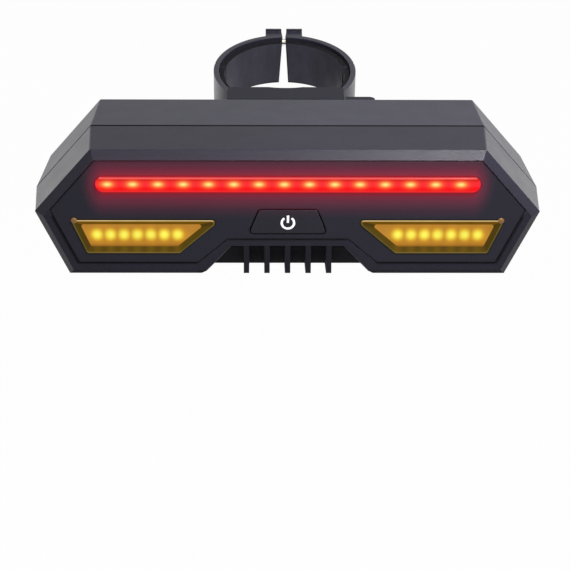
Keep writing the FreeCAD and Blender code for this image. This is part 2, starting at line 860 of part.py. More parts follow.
def split_wedge(extra):
    """The gap between the arms, narrow at the top and wide at the bottom."""
    top = ring_h / 2 + 3
    bottom = -ring_h / 2 - 1
    slope = (split_bottom - split_top) / ring_h
    half_top = split_top - slope * (top - ring_h / 2) + extra
    half_bottom = split_bottom + slope + extra
    points = [V(-half_bottom, 0, bottom), V(half_bottom, 0, bottom), V(half_top, 0, top), V(-half_top, 0, top)]
    return Part.Face(Part.makePolygon(points + points[:1])).extrude(V(0, ring_out_r + 10, 0))


def ear_wedge():
    """The gap between the ears, which widens away from the post."""
    flare = (ear_in - split_top) / (ring_wall + ear_depth)
    outer_y = ring_out_r + 2 * ear_depth + ear_boss_r
    outer = split_top + flare * (outer_y - ring_in_r)
    points = [V(-split_top, ring_in_r, -ring_h), V(split_top, ring_in_r, -ring_h),
              V(outer, outer_y, -ring_h), V(-outer, outer_y, -ring_h)]
    return Part.Face(Part.makePolygon(points + points[:1])).extrude(V(0, 0, 2 * ring_h))


def right_sector(low, high):
    """The right half of a slab that lies along the hinge's radius, for cutting the ring there."""
    far = ring_out_r + 10
    slab = box(-far, far, low, high, -ring_h, ring_h)
    slab.rotate(V(0, 0, 0), V(0, 0, 1), hinge_angle)
    return slab.common(box(0, far, -far, far, -ring_h, ring_h))


def hinge_rod(r, height):
    angle = math.radians(hinge_angle)
    return rod_z(mid_r * math.cos(angle), mid_r * math.sin(angle), r, -height / 2, height / 2)


def right_arm():
    arm = tube(ring_in_r, ring_out_r, ring_h).common(right_sector(arm_gap, 2 * ring_out_r))
    ear_back = ring_out_r + ear_depth
    ear = box(0, ear_out, ring_in_r, ear_back, ring_h / 2 - ear_h, ring_h / 2)
    boss = rod_x(screw_y(), screw_z(), ear_boss_r, 0, ear_out)
    ear = join([ear, boss]).cut(long_cylinder(mid_r))
    lip = box(0, ear_out, ear_back - ear_lip_t, ear_back, ring_h / 2 - 0.1, ring_h / 2 + ear_lip)
    arm = join([arm, hinge_rod(hinge_bead_r, ring_h), ear, lip])
    return arm.cut(split_wedge(0.0)).cut(ear_wedge())


def arm_right():
    x0 = ear_out - clamp_nut_t
    pocket = hexagon_prism(clamp_nut_af + 0.1, V(x0, screw_y(), screw_z()), V(1, 0, 0), clamp_nut_t + 5)
    hole = rod_x(screw_y(), screw_z(), clamp_screw_r + clamp_play, 0, ear_out + 1)
    return right_arm().cut(pocket).cut(hole)


def arm_left():
    arm = right_arm().mirror(V(0, 0, 0), V(1, 0, 0))
    seat = -(ear_out - clamp_head_t)
    hole = rod_x(screw_y(), screw_z(), clamp_screw_r + clamp_play, seat - 1, 0)
    pocket = rod_x(screw_y(), screw_z(), clamp_head_r + clamp_play, -ear_out - 5, seat)
    return arm.cut(hole).cut(pocket)


def screw_y():
    return ring_out_r + ear_screw_y


def screw_z():
    return ring_h / 2 - ear_screw_drop


def clamp_screw():
    seat = -(ear_out - clamp_head_t)
    head = rod_x(screw_y(), screw_z(), clamp_head_r, seat - clamp_head_t, seat)
    shank = rod_x(screw_y(), screw_z(), clamp_screw_r, seat - 0.1, ear_out)
    key = hexagon_prism(hex_key, V(seat - clamp_head_t - 1, screw_y(), screw_z()), V(1, 0, 0), hex_key_depth + 1)
    return join([head, shank]).cut(key)


def clamp_nut():
    x0 = ear_out - clamp_nut_t
    nut = hexagon_prism(clamp_nut_af, V(x0, screw_y(), screw_z()), V(1, 0, 0), clamp_nut_t)
    return nut.cut(rod_x(screw_y(), screw_z(), clamp_screw_r + clamp_play, x0 - 1, ear_out + 1))


def front_ring(inner, outer, height, inset):
    """The part of a ring that stays with the block, up to both hinges."""
    right = tube(inner, outer, height).common(right_sector(-2 * outer, -inset))
    return join(both_sides(right))


def half_ring():
    ring = front_ring(ring_in_r, ring_out_r, ring_h, 0.0)
    for socket in both_sides(hinge_rod(hinge_bead_r + hinge_gap, 2 * ring_h)):
        ring = ring.cut(socket)
    return ring


def liner_base():
    return front_ring(post_bore_r, ring_in_r, liner_h, liner_inset)


def liner_right():
    pad = tube(post_bore_r, ring_in_r, liner_h).common(right_sector(liner_inset, 2 * ring_out_r))
    return pad.cut(split_wedge(liner_split))


# Placing: the light and the block move to the bore's centre, the ring leans with the post

def place_light(shape):
    moved = shape.copy()
    moved.translate(V(0, -reach, -rise))
    return moved


def place_ring(shape):
    moved = shape.copy()
    moved.rotate(V(0, 0, 0), V(1, 0, 0), post_lean)
    return moved


def clamp_base():
    bore = place_ring(long_cylinder(post_bore_r + block_play))
    seat = place_ring(rod_z(0, 0, ring_in_r, -ring_h / 2, ring_h / 2))
    block = place_light(clamp_block()).cut(bore.fuse(seat))
    return join([block, place_ring(half_ring())]).removeSplitter()


def mirrored(shape):
    return shape.mirror(V(0, 0, 0), V(1, 0, 0))


parts = {
    "front_housing": place_light(front_housing()),
    "front_panel": place_light(front_panel()),
    "red_lens": place_light(red_lens()),
    "red_light_guide": place_light(red_light_guide()),
    "red_leds": place_light(red_leds()),
    "amber_lens_right": place_light(amber_lens()),
    "amber_lens_left": place_light(mirrored(amber_lens())),
    "amber_diffuser_right": place_light(amber_diffuser()),
    "amber_diffuser_left": place_light(mirrored(amber_diffuser())),
    "amber_leds_right": place_light(amber_leds()),
    "amber_leds_left": place_light(mirrored(amber_leds())),
    "power_button": place_light(power_button()),
    "button_symbol": place_light(symbol_solid()),
    "button_seal": place_light(button_seal()),
    "tact_switch": place_light(tact_switch()),
    "switch_plunger": place_light(switch_plunger()),
    "main_board": place_light(main_board()),
    "board_screws": place_light(board_screws()),
    "radio_module": place_light(radio_module()),
    "battery_cell": place_light(battery_cell()),
    "battery_holder": place_light(battery_holder()),
    "battery_foam": place_light(battery_foam()),
    "battery_leads": place_light(battery_leads()),
    "usb_socket": place_light(usb_socket()),
    "usb_cover": place_light(usb_cover()),
    "rear_housing": place_light(rear_housing()),
    "housing_gasket": place_light(gasket_ring(0.0)),
    "housing_screws": place_light(housing_screws()),
    "rail_plate": place_light(rail_plate()),
    "rail_screws": place_light(rail_screws()),
    "clamp_base": clamp_base(),
    "clamp_arm_right": place_ring(arm_right()),
    "clamp_arm_left": place_ring(arm_left()),
    "clamp_liner_base": place_ring(liner_base()),
    "clamp_liner_right": place_ring(liner_right()),
    "clamp_liner_left": place_ring(mirrored(liner_right())),
    "clamp_screw": place_ring(clamp_screw()),
    "clamp_nut": place_ring(clamp_nut()),
}

os.makedirs("parts", exist_ok=True)
for name, shape in parts.items():
    shape.exportStep("parts/" + name + ".step")
    print(name, len(shape.Solids), round(shape.Volume, 1), shape.isValid())
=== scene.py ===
"""Looks of the bike tail light: materials, small surface pieces, light and camera.

The solids come from the frame. Lengths are in metres, written as millimetres times MM. The scales
of noise and cells count features per metre.
"""

import math

import bmesh
import bpy
from mathutils import Matrix, Vector


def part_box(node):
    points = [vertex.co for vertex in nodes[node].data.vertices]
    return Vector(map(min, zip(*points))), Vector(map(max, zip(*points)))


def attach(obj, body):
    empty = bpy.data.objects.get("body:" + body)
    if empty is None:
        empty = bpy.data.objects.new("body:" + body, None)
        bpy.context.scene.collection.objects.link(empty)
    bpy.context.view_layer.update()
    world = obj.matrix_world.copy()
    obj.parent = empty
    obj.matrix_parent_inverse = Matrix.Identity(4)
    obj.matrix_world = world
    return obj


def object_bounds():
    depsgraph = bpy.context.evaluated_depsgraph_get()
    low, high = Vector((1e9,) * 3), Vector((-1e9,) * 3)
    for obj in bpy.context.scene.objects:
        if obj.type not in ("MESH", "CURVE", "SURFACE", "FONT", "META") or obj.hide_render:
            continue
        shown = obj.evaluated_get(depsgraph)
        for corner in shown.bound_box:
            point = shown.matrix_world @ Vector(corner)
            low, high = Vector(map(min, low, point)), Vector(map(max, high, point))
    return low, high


MM = 0.001

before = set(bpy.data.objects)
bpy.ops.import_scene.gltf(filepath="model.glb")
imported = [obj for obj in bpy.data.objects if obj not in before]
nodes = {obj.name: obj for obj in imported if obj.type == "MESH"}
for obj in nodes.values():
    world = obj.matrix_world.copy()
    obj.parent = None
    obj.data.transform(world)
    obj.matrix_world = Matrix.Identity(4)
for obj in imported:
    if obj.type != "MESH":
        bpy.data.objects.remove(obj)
cad_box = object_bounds()


# Places read from the frame

rear_low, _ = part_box("rear_housing")
panel_low, panel_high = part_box("front_panel")
bar_low, bar_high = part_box("red_lens")
face_y = panel_low.y
seam_y = rear_low.y
panel_mid_z = (panel_low.z + panel_high.z) / 2

# The bar's box includes a flange that the panel hides
bar_flange = 0.7 * MM
bar_mid = (bar_low + bar_high) / 2
bar_radius = (bar_high.z - bar_low.z) / 2 - bar_flange
bar_reach = (bar_high.x - bar_low.x) / 2 - bar_flange - bar_radius

red_count = 15
amber_count = 7
led_half = 1.0 * MM


def led_row(node, count):
    """Middle of the first LED, spacing and height of a row, and how many follow the first."""
    low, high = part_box(node)
    first = low.x + led_half
    spacing = (high.x - low.x - 2 * led_half) / (count - 1)
    return first, spacing, (low.z + high.z) / 2, count - 1


def raised(row, lift):
    """The same row of LEDs, moved up."""
    first, spacing, height, last = row
    return first, spacing, height + lift, last


# Colours

CASING = "#272630"
FRONT = "#1f1e27"
PANEL = "#26252f"
CLAMP = "#292832"
LINER = "#2c2b34"
BUTTON = "#24232c"
COVER = "#2f2e36"
FIN_SHADE = "#18171f"
RECESS_SHADE = "#131318"
SHADOW = "#0b0b0f"
BLACK = (0.0, 0.0, 0.0, 1.0)
WHITE = (1.0, 1.0, 1.0, 1.0)


def linear(text, gain=1.0):
    """A web colour as the linear values that shaders take."""
    parts = [int(text[i:i + 2], 16) / 255 for i in (1, 3, 5)]
    bent = [c / 12.92 if c <= 0.04045 else ((c + 0.055) / 1.055) ** 2.4 for c in parts]
    return (*[c * gain for c in bent], 1.0)


# Shader building

class Shader:
    """One material's node tree, with short calls for the nodes used here."""

    def __init__(self, name):
        self.material = bpy.data.materials.new(name)
        self.material.use_nodes = True
        self.tree = self.material.node_tree
        self.tree.nodes.clear()
        output = self.tree.nodes.new("ShaderNodeOutputMaterial")
        self.bsdf = self.tree.nodes.new("ShaderNodeBsdfPrincipled")
        self.tree.links.new(self.bsdf.outputs[0], output.inputs["Surface"])
        coordinates = self.tree.nodes.new("ShaderNodeTexCoord")
        self.place = coordinates.outputs["Object"]
        self.facing = coordinates.outputs["Normal"]

    def set(self, **values):
        """Fixed values, on the shader's own sockets."""
        for key, value in values.items():
            self.bsdf.inputs[key.replace("_", " ")].default_value = value

    def link(self, name, socket):
        """A value that varies over the surface, into one of the shader's sockets."""
        self.tree.links.new(socket, self.bsdf.inputs[name])

    def put(self, socket, value):
        """Feed a socket from another node, or give it a fixed value."""
        if isinstance(value, bpy.types.NodeSocket):
            self.tree.links.new(value, socket)
        else:
            socket.default_value = value

    def math(self, operation, *values, clamp=False):
        node = self.tree.nodes.new("ShaderNodeMath")
        node.operation = operation
        node.use_clamp = clamp
        for socket, value in zip(node.inputs, values):
            self.put(socket, value)
        return node.outputs[0]

    def squares(self, a, b):
        """The sum of two squares."""
        return self.math("ADD", self.math("MULTIPLY", a, a), self.math("MULTIPLY", b, b))

    def repeat(self, value, pitch):
        """From 0 to 1 again and again, once in every pitch."""
        return self.math("FRACT", self.math("MULTIPLY", value, 1 / pitch))

    def noise(self, scale, detail=2.0, rough=0.5, place=None):
        node = self.tree.nodes.new("ShaderNodeTexNoise")
        node.inputs["Scale"].default_value = scale
        node.inputs["Detail"].default_value = detail
        node.inputs["Roughness"].default_value = rough
        self.put(node.inputs["Vector"], place or self.place)
        return node.outputs["Fac"]

    def cells(self, scale):
        node = self.tree.nodes.new("ShaderNodeTexVoronoi")
        node.inputs["Scale"].default_value = scale
        self.put(node.inputs["Vector"], self.place)
        return node.outputs["Distance"]

    def stretch(self, x, y, z):
        """The object's coordinates, scaled apart on each axis."""
        node = self.tree.nodes.new("ShaderNodeMapping")
        node.inputs["Scale"].default_value = (x, y, z)
        self.put(node.inputs["Vector"], self.place)
        return node.outputs[0]

    def split(self, vector):
        node = self.tree.nodes.new("ShaderNodeSeparateXYZ")
        self.put(node.inputs[0], vector)
        return node.outputs["X"], node.outputs["Y"], node.outputs["Z"]

    def remap(self, value, low, high, new_low, new_high, smooth=False):
        node = self.tree.nodes.new("ShaderNodeMapRange")
        if smooth:
            node.interpolation_type = "SMOOTHSTEP"
        for socket, number in zip(node.inputs, (value, low, high, new_low, new_high)):
            self.put(socket, number)
        return node.outputs[0]

    def share(self, value, low, high):
        """How far a value has come from low, where it gives 0, to high, where it gives 1."""
        return self.remap(value, low, high, 0.0, 1.0)

    def spread(self, noise, low, high):
        """Noise, which mostly lies between 0.3 and 0.7, spread out between two values."""
        return self.remap(noise, 0.3, 0.7, low, high)

    def mix(self, fac, a, b, kind="MIX"):
        node = self.tree.nodes.new("ShaderNodeMix")
        node.data_type = "RGBA"
        node.blend_type = kind
        self.put(node.inputs["Factor"], fac)
        colours = [socket for socket in node.inputs if socket.type == "RGBA"]
        self.put(colours[0], a)
        self.put(colours[1], b)
        return next(socket for socket in node.outputs if socket.type == "RGBA")

    def ramp(self, value, stops):
        """A colour for each height of the value, from stops of (height, colour)."""
        node = self.tree.nodes.new("ShaderNodeValToRGB")
        points = node.color_ramp.elements
        while len(points) < len(stops):
            points.new(0.5)
        for point, (where, colour) in zip(points, stops):
            point.position = where
            point.color = colour
        self.put(node.inputs["Fac"], value)
        return node.outputs["Color"]

    def above(self, value, edge, blur):
        """1 above the edge and 0 below it."""
        return self.remap(value, edge - blur / 2, edge + blur / 2, 0.0, 1.0, smooth=True)

    def outside(self, mask):
        """1 where the mask is 0, and 0 where it is 1."""
        return self.math("SUBTRACT", 1.0, mask)

    def below(self, value, edge, blur):
        """1 below the edge and 0 above it."""
        return self.outside(self.above(value, edge, blur))

    def within(self, value, low, high, blur):
        """1 between two values and 0 elsewhere."""
        return self.math("MULTIPLY", self.above(value, low, blur), self.below(value, high, blur))

    def all_of(self, *masks):
        """1 where every mask is 1."""
        total = masks[0]
        for mask in masks[1:]:
            total = self.math("MULTIPLY", total, mask)
        return total

    def most(self, *values):
        """The highest of some values."""
        total = values[0]
        for value in values[1:]:
            total = self.math("MAXIMUM", total, value)
        return total

    def rounded(self, radius):
        """Surface direction as if every edge had this radius."""
        node = self.tree.nodes.new("ShaderNodeBevel")
        node.samples = 6
        node.inputs["Radius"].default_value = radius
        return node.outputs["Normal"]

    def edges(self, soft_normal, gain=6.0):
        """About 1 along the edges that the rounding bends, and 0 elsewhere."""
        flat = self.tree.nodes.new("ShaderNodeNewGeometry").outputs["Normal"]
        node = self.tree.nodes.new("ShaderNodeVectorMath")
        node.operation = "DOT_PRODUCT"
        self.put(node.inputs[0], soft_normal)
        self.put(node.inputs[1], flat)
        return self.math("MULTIPLY", self.outside(node.outputs["Value"]), gain, clamp=True)

    def bump(self, height, strength, distance, normal=None):
        node = self.tree.nodes.new("ShaderNodeBump")
        node.inputs["Strength"].default_value = strength
        node.inputs["Distance"].default_value = distance
        self.put(node.inputs["Height"], height)
        if normal is not None:
            self.put(node.inputs["Normal"], normal)
        self.put(self.bsdf.inputs["Normal"], node.outputs["Normal"])


# Moulded plastic and rubber

def moulded(name, colour, rough=0.42, spec=0.14, grain=7000.0, depth=0.012 * MM, edge=0.22 * MM,
            edge_paint=0.5, edge_gain=2.6, bend_gain=6.0):
    """Matt moulded plastic: spark-eroded grain, slight clouding, and a painted highlight along rounded
    edges, which becomes painted shade where edge_gain is below 1.
    """
    s = Shader(name)
    cloud = s.share(s.noise(60.0, detail=4.0, rough=0.6), 0.32, 0.68)
    speck = s.share(s.noise(grain * 0.4, rough=0.6), 0.38, 0.62)
    tone = s.mix(cloud, linear(colour, 0.92), linear(colour, 1.06))
    tone = s.mix(s.math("MULTIPLY", speck, 0.22), tone, linear(colour, 1.7))
    soft = s.rounded(edge)
    # Painted highlight along the edges that the rounding bends; painted shade there when edge_gain is
    # below 1.
    painted_edge = s.math("MULTIPLY", s.edges(soft, bend_gain), edge_paint)
    s.tone = s.mix(painted_edge, tone, linear(colour, edge_gain))
    s.shine = s.spread(s.noise(180.0, detail=3.0), rough - 0.02, rough + 0.02)
    s.link("Base Color", s.tone)
    s.link("Roughness", s.shine)
    pits = s.math("MULTIPLY", s.cells(grain * 0.6), 0.5)
    height = s.math("ADD", s.noise(grain, detail=3.0, rough=0.65), pits)
    s.bump(height, strength=0.45, distance=depth, normal=soft)
    s.set(Specular_IOR_Level=spec, IOR=1.5)
    return s


# Red light thrown on the plastic round the bar

end_fall = 1.6
glow_reach = 6.8 * MM
glow_sink = 2.4 * MM
# Share of the reach, and the light thrown there
glow_fall = [
    (0.00, (0.340, 0.004, 0.012, 1.0)),
    (0.06, (0.240, 0.002, 0.010, 1.0)),
    (0.12, (0.190, 0.002, 0.014, 1.0)),
    (0.19, (0.158, 0.002, 0.016, 1.0)),
    (0.32, (0.104, 0.002, 0.014, 1.0)),
    (0.44, (0.078, 0.004, 0.011, 1.0)),
    (0.57, (0.050, 0.002, 0.008, 1.0)),
    (0.70, (0.026, 0.001, 0.005, 1.0)),
    (1.00, BLACK),
]


def distance_to_bar(s):
    """Distance, in the front view, from the bar's outline, counted longer past its two ends."""
    x, _, z = s.split(s.place)
    from_middle = s.math("ABSOLUTE", s.math("SUBTRACT", x, bar_mid.x))
    past_end = s.math("MAXIMUM", s.math("SUBTRACT", from_middle, bar_reach), 0.0)
    along = s.math("MULTIPLY", past_end, end_fall)
    up = s.math("SUBTRACT", z, bar_mid.z)
    return s.math("SUBTRACT", s.math("SQRT", s.squares(along, up)), bar_radius)


def red_glow(s, strength):
    """Maroon light that falls away from the bar over a few millimetres, near the face only."""
    colour = s.ramp(s.share(distance_to_bar(s), 0.0, glow_reach), glow_fall)
    _, y, _ = s.split(s.place)
    near_face = s.remap(y, face_y, face_y + glow_sink, 1.0, 0.0)
    s.link("Emission Color", s.mix(near_face, BLACK, colour))
    s.set(Emission_Strength=strength)


def panel_plastic():
    # Darkened edges (edge_gain below 1): painted shade in the gap round the panel.
    s = moulded("panel_plastic", PANEL, rough=0.5, spec=0.17, depth=0.008 * MM, edge=0.55 * MM,
                edge_paint=1.0, edge_gain=0.1, bend_gain=14.0)
    red_glow(s, 1.0)
    return s.material


def button_plastic():
    s = moulded("button_plastic", BUTTON, rough=0.48, spec=0.2, depth=0.008 * MM, edge=0.2 * MM,
                edge_paint=0.35)
    red_glow(s, 0.6)
    return s.material


# The two halves of the casing

casing_grain = 3600.0
casing_depth = 0.03 * MM
seam_reach = 0.28 * MM
seam_width = 0.3 * MM
fine_blur = 0.1 * MM
side_blur = 0.2 * MM
wide_blur = 0.3 * MM


def casing(name, colour):
    """Casing plastic, with painted shade along the line where the two halves meet."""
    s = moulded(name, colour, grain=casing_grain, depth=casing_depth)
    _, y, _ = s.split(s.place)
    # Painted shade on either side of the seam between the halves.
    seam_shade = s.within(y, seam_y - seam_reach, seam_y + seam_width + seam_reach, fine_blur)
    s.tone = s.mix(seam_shade, s.tone, linear(SHADOW))
    s.shine = s.most(s.shine, seam_shade)
    s.link("Base Color", s.tone)
    s.link("Roughness", s.shine)
    return s


def rear_casing():
    return casing("rear_casing_plastic", CASING).material


# Sizes of the recess, the fins and the bevelled rim, as in the solids
recess_half = 21.5 * MM
recess_top = -11.85 * MM
recess_mouth = 0.35 * MM
recess_depth = 8.0 * MM
fins_half = 10.6 * MM
bevel_depth = 2.07 * MM

# Painted light and shade on the rim, where a face's direction is -1 if it looks straight down
border_highlight_gain = (1.45, 1.45, 1.45, 1.0)
pocket_rounding = 0.9 * MM
pocket_start = 0.9 * MM
pocket_fade = 1.0 * MM
inward_full = -5.0 * MM
inward_none = -0.5 * MM
straight_down = -0.93
low_bevel = (-0.88, -0.6)
turn_blur = 0.05


def fin_mask(s):
    """The fins, but not the casing's bottom behind them."""
    x, y, z = s.split(s.place)
    return s.all_of(
        s.within(x, -fins_half, fins_half, side_blur),
        s.below(z, recess_top, wide_blur),
        s.below(y, face_y + recess_depth, wide_blur),
    )


def recess_mask(s):
    """What lies behind the recess's mouth, apart from what faces straight down."""
    x, y, z = s.split(s.place)
    _, _, nz = s.split(s.facing)
    return s.all_of(
        s.within(x, -recess_half, recess_half, side_blur),
        s.below(z, recess_top, wide_blur),
        s.above(y, face_y + recess_mouth, wide_blur),
        s.above(nz, straight_down, turn_blur),
    )


def looks_inward(s):
    """1 on slopes that look towards the panel's middle, and 0 on those that look away from it."""
    x, _, z = s.split(s.place)
    soft_x, _, soft_z = s.split(s.rounded(pocket_rounding))
    sideways = s.math("MULTIPLY", soft_x, x)
    upwards = s.math("MULTIPLY", soft_z, s.math("SUBTRACT", z, panel_mid_z))
    return s.remap(s.math("ADD", sideways, upwards), inward_full, inward_none, 1.0, 0.0)


def front_casing():
    """The front half: painted red light from the bar, painted shade in the finned recess and round the
    panel, and a painted highlight on its rim.
    """
    s = casing("front_casing_plastic", FRONT)
    red_glow(s, 0.3)
    _, y, z = s.split(s.place)
    _, _, nz = s.split(s.facing)
    fin = fin_mask(s)
    recess = recess_mask(s)
    border = s.below(y, face_y + bevel_depth, fine_blur)
    lower_half = s.below(z, panel_mid_z - pocket_start, pocket_fade)
    pocket_shade = s.all_of(looks_inward(s), border, lower_half, s.outside(fin))
    under_rim = s.all_of(s.within(nz, *low_bevel, turn_blur), border)
    # Painted highlight: the whole border is lightened.
    tone = s.mix(border, s.tone, s.mix(1.0, s.tone, border_highlight_gain, "MULTIPLY"))
    # Painted shade on the fins.
    tone = s.mix(fin, tone, linear(FIN_SHADE))
    # Painted shade in the recess behind its mouth.
    tone = s.mix(recess, tone, linear(RECESS_SHADE))
    # Painted shade on the inward-looking walls round the lower half of the panel.
    s.link("Base Color", s.mix(pocket_shade, tone, linear(SHADOW)))
    s.link("Roughness", s.most(s.shine, recess, under_rim, pocket_shade))
    return s.material


# The lit red bar

def spots(s, row, wide, high):
    """1 at each LED of a row, falling to 0 away from it."""
    first, spacing, height, last = row
    x, _, z = s.split(s.place)
    steps = s.math("DIVIDE", s.math("SUBTRACT", x, first), spacing)
    nearest = s.math("MINIMUM", s.math("MAXIMUM", s.math("ROUND", steps), 0.0), last)
    off = s.math("MULTIPLY", s.math("SUBTRACT", steps, nearest), spacing)
    across = s.math("DIVIDE", off, wide)
    up = s.math("DIVIDE", s.math("SUBTRACT", z, height), high)
    return s.math("POWER", math.e, s.math("MULTIPLY", s.squares(across, up), -1.0))


red_spot_lift = 0.25 * MM


def red_lens():
    """The bar: bands of red from its lower to its upper edge, a painted highlight in the pale band near
    the top, and a hot spot at each LED.
    """
    s = Shader("red_lens")
    row = raised(led_row("red_leds", red_count), red_spot_lift)
    glow = spots(s, row, wide=1.6 * MM, high=1.0 * MM)
    core = spots(s, row, wide=1.1 * MM, high=0.62 * MM)
    heart = spots(s, row, wide=0.75 * MM, high=0.4 * MM)
    _, _, z = s.split(s.place)
    up = s.share(z, bar_mid.z - bar_radius, bar_mid.z + bar_radius)
    body = s.ramp(up, [
        (0.00, linear("#b01824")),
        (0.06, linear("#ea2c30")),
        (0.15, linear("#f8181e")),
        (0.28, linear("#fc050a")),
        (0.50, linear("#ff2a34")),
        (0.70, linear("#fa2a32")),
        (0.79, linear("#e8221a")),
        (0.86, linear("#d01408")),
        # Painted highlight: the pale band near the top edge.
        (0.95, linear("#ff6464")),
        (1.00, linear("#b42c38")),
    ])
    warm = s.mix(glow, body, linear("#ff6a30"))
    hot = s.mix(core, warm, linear("#ffbe60"))
    s.link("Emission Color", s.mix(heart, hot, linear("#fff08a")))
    s.set(Base_Color=linear("#30060a"), Emission_Strength=0.96, Specular_IOR_Level=0.05, Roughness=0.16)
    s.bump(s.noise(420.0), strength=0.05, distance=0.04 * MM, normal=s.rounded(0.15 * MM))
    return s.material


def glowing_strip(name, row, wide, high, colour, spot_colour, base):
    """A lit inner piece: its own colour, and a brighter spot at each LED."""
    s = Shader(name)
    s.link("Emission Color", s.mix(spots(s, row, wide, high), linear(colour), linear(spot_colour)))
    s.set(Base_Color=linear(base), Emission_Strength=0.7)
    s.bump(s.noise(2500.0), strength=0.2, distance=0.02 * MM)
    return s


def red_guide():
    row = led_row("red_leds", red_count)
    s = glowing_strip("red_light_guide", row, 1.8 * MM, 1.4 * MM, "#e01a18", "#ff8a50", "#d02018")
    s.link("Roughness", s.spread(s.noise(900.0, detail=3.0), 0.35, 0.5))
    return s.material


# The amber windows

amber_flange = 0.65 * MM
field_depth = 0.837 * MM
field_blur = 0.06 * MM
rim_depth = 0.05 * MM
rim_blur = 0.08 * MM
streak_drop = 4.2 * MM

# A face's direction past which it counts as looking up or down
slope = 0.3
slope_blur = 0.2


def amber_field(s, row, up):
    """The sunk lit field, with a yellow spot over each LED."""
    field = s.ramp(up, [
        (0.16, linear("#8a5c1c")),
        (0.24, linear("#b47a26")),
        (0.45, linear("#be862e")),
        (0.80, linear("#b87f2e")),
        (0.90, linear("#a4722c")),
    ])
    halo = spots(s, row, wide=1.65 * MM, high=1.75 * MM)
    core = spots(s, row, wide=1.2 * MM, high=1.25 * MM)
    heart = spots(s, row, wide=0.8 * MM, high=0.85 * MM)
    lit = s.mix(s.math("MULTIPLY", halo, 0.75), field, linear("#f2ae2c"))
    lit = s.mix(s.share(core, 0.08, 0.85), lit, linear("#ffe238"))
    return s.mix(heart, lit, linear("#fffd68"))


def amber_border(s, row):
    """The four slopes round the field: dark, with streaks of light on the lower one."""
    _, _, nz = s.split(s.facing)
    streaks = spots(s, raised(row, -streak_drop), wide=1.0 * MM, high=4.0 * MM)
    border = s.mix(s.below(nz, -slope, slope_blur), linear("#463604"), linear("#6c4a06"))
    sill = s.mix(s.math("MULTIPLY", streaks, 0.6), linear("#503e04"), linear("#705408"))
    return s.mix(s.above(nz, slope, slope_blur), border, sill)


def amber_rim(s, up):
    """The thin rim round the window, with a painted highlight along its top."""
    return s.ramp(up, [
        (0.00, linear("#786430")),
        (0.10, linear("#58521f")),
        (0.85, linear("#625626")),
        (0.94, linear("#6c4e16")),
        (0.965, linear("#a0803c")),
        (0.985, linear("#dcc08a")),
        (1.00, linear("#dcc08a")),
    ])


def amber_lens(side):
    """Clear amber window: sunk lit field, sloping borders, and a thin rim with a painted highlight
    along its top.
    """
    s = Shader(f"amber_lens_{side}")
    low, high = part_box(f"amber_lens_{side}")
    row = led_row(f"amber_leds_{side}", amber_count)
    _, y, z = s.split(s.place)
    depth = s.math("SUBTRACT", y, low.y)
    up = s.share(z, low.z + amber_flange, high.z - amber_flange)
    in_field = s.above(depth, field_depth, field_blur)
    on_rim = s.below(depth, rim_depth, rim_blur)
    colour = s.mix(in_field, amber_border(s, row), amber_field(s, row, up))
    colour = s.mix(on_rim, colour, amber_rim(s, up))
    clouds = s.spread(s.noise(320.0, detail=3.0), 0.93, 1.05)
    s.link("Emission Color", s.mix(1.0, colour, clouds, "MULTIPLY"))
    s.set(Base_Color=linear("#20160a"), Emission_Strength=0.97, Specular_IOR_Level=0.04, Roughness=0.14)
    s.bump(s.noise(500.0), strength=0.06, distance=0.03 * MM, normal=s.rounded(0.12 * MM))
    return s.material


def amber_diffuser(side):
    name = f"amber_diffuser_{side}"
    row = led_row(f"amber_leds_{side}", amber_count)
    s = glowing_strip(name, row, 1.6 * MM, 1.6 * MM, "#b87a22", "#ffe860", "#c98a25")
    s.link("Roughness", s.spread(s.noise(900.0, detail=3.0), 0.4, 0.6))
    return s.material


def led(name, colour, glow, strength):
    """A small LED block: pale package, with light that varies over its face."""
    s = Shader(name)
    grain = s.noise(1500.0, detail=3.0)
    s.link("Base Color", s.mix(grain, linear("#d8d8d4"), linear("#f0efe8")))
    s.link("Emission Color", s.mix(s.above(s.cells(700.0), 0.35, 0.2), linear(glow), linear(colour)))
    s.link("Roughness", s.spread(grain, 0.3, 0.5))
    s.set(Emission_Strength=strength)
    s.bump(grain, strength=0.2, distance=0.02 * MM, normal=s.rounded(0.1 * MM))
    return s.material


# Power mark

def symbol_white():
    s = Shader("symbol_white")
    grain = s.noise(2500.0, detail=3.0)
    s.link("Base Color", s.mix(grain, linear("#e6e6ea"), linear("#fbfbfc")))
    s.link("Roughness", s.spread(grain, 0.35, 0.5))
    # The emission is painted light on the white print.
    s.set(Emission_Color=WHITE, Emission_Strength=0.45)
    s.bump(grain, strength=0.15, distance=0.01 * MM, normal=s.rounded(0.08 * MM))
    return s.material


# Clamp and liner

ring_lean = math.radians(9.0)
block_back = -10.0 * MM
block_top = 8.0 * MM
rib_pitch = 1.3 * MM


def clamp_material():
    """Clamp plastic: satin on the ring; darker and duller on top of the block that grips the rail."""
    s = moulded("clamp_plastic", CLAMP, rough=0.3, spec=0.22, edge=0.3 * MM)
    _, y, z = s.split(s.place)
    on_block = s.all_of(s.below(y, block_back, wide_blur), s.above(z, block_top, fine_blur))
    s.link("Base Color", s.mix(on_block, s.tone, linear(CLAMP, 0.55)))
    s.link("Roughness", s.most(s.shine, s.math("MULTIPLY", on_block, 0.9)))
    return s.material


def along_ring(s):
    """Height above the ring's middle, measured along the leaning seat post."""
    _, y, z = s.split(s.place)
    across = s.math("MULTIPLY", y, -math.sin(ring_lean))
    return s.math("ADD", across, s.math("MULTIPLY", z, math.cos(ring_lean)))


